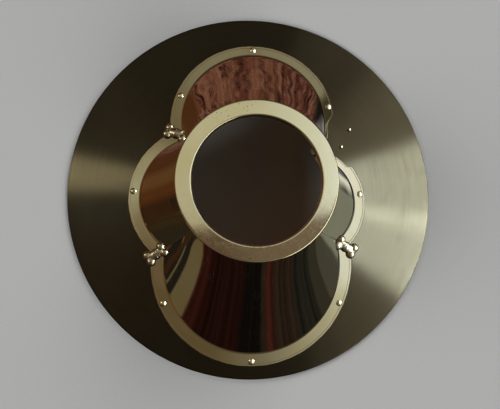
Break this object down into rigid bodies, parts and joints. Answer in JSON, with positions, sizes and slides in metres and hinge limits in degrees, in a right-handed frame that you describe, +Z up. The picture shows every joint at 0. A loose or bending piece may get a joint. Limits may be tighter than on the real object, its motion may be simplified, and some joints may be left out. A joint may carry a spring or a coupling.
{
  "type": "conical brass lamp shade",
  "caption": "Shallow satin brass shade on a wired rim, with a polished lobed neck riveted over it, cast corner brackets and an open flat-ringed neck.",
  "frame": {"origin": "centre of the rim's underside, on the surface that the shade stands on", "axes": "+Z up the shade's axis towards the open neck, -Y towards the largest lobe, +X to the right of it"},
  "size_m": [0.254, 0.254, 0.068],
  "materials": {
    "satin_brass": "lathe-brushed satin, lightly aged",
    "polished_brass": "mirror polished, with fine wiping scratches",
    "ring_brass": "polished, with light tarnish specks",
    "cast_brass": "cast and hand polished",
    "rivet_brass": "polished, hammer-set",
    "brazing_brass": "as brazed, dull",
    "iron_wire": "drawn iron wire"
  },
  "bodies": {
    "root": {"skirt": "satin_brass", "rim_wire": "iron_wire", "neck_ring": "ring_brass", "neck_hoop": "brazing_brass", "gore_front": "polished_brass", "gore_back": "polished_brass", "gore_left": "polished_brass", "gore_right": "polished_brass", "seam_front_left": "brazing_brass", "seam_front_right": "brazing_brass", "seam_back_left": "brazing_brass", "seam_back_right": "brazing_brass", "bracket_front_left": "cast_brass", "bracket_front_right": "cast_brass", "bracket_back_left": "cast_brass", "studs_front_left": "rivet_brass", "studs_front_right": "rivet_brass", "studs_back_left": "rivet_brass", "studs_back_right": "rivet_brass", "rivets_front": "rivet_brass", "rivets_back": "rivet_brass", "rivets_left": "rivet_brass", "rivets_right": "rivet_brass"}
  },
  "joints": []
}
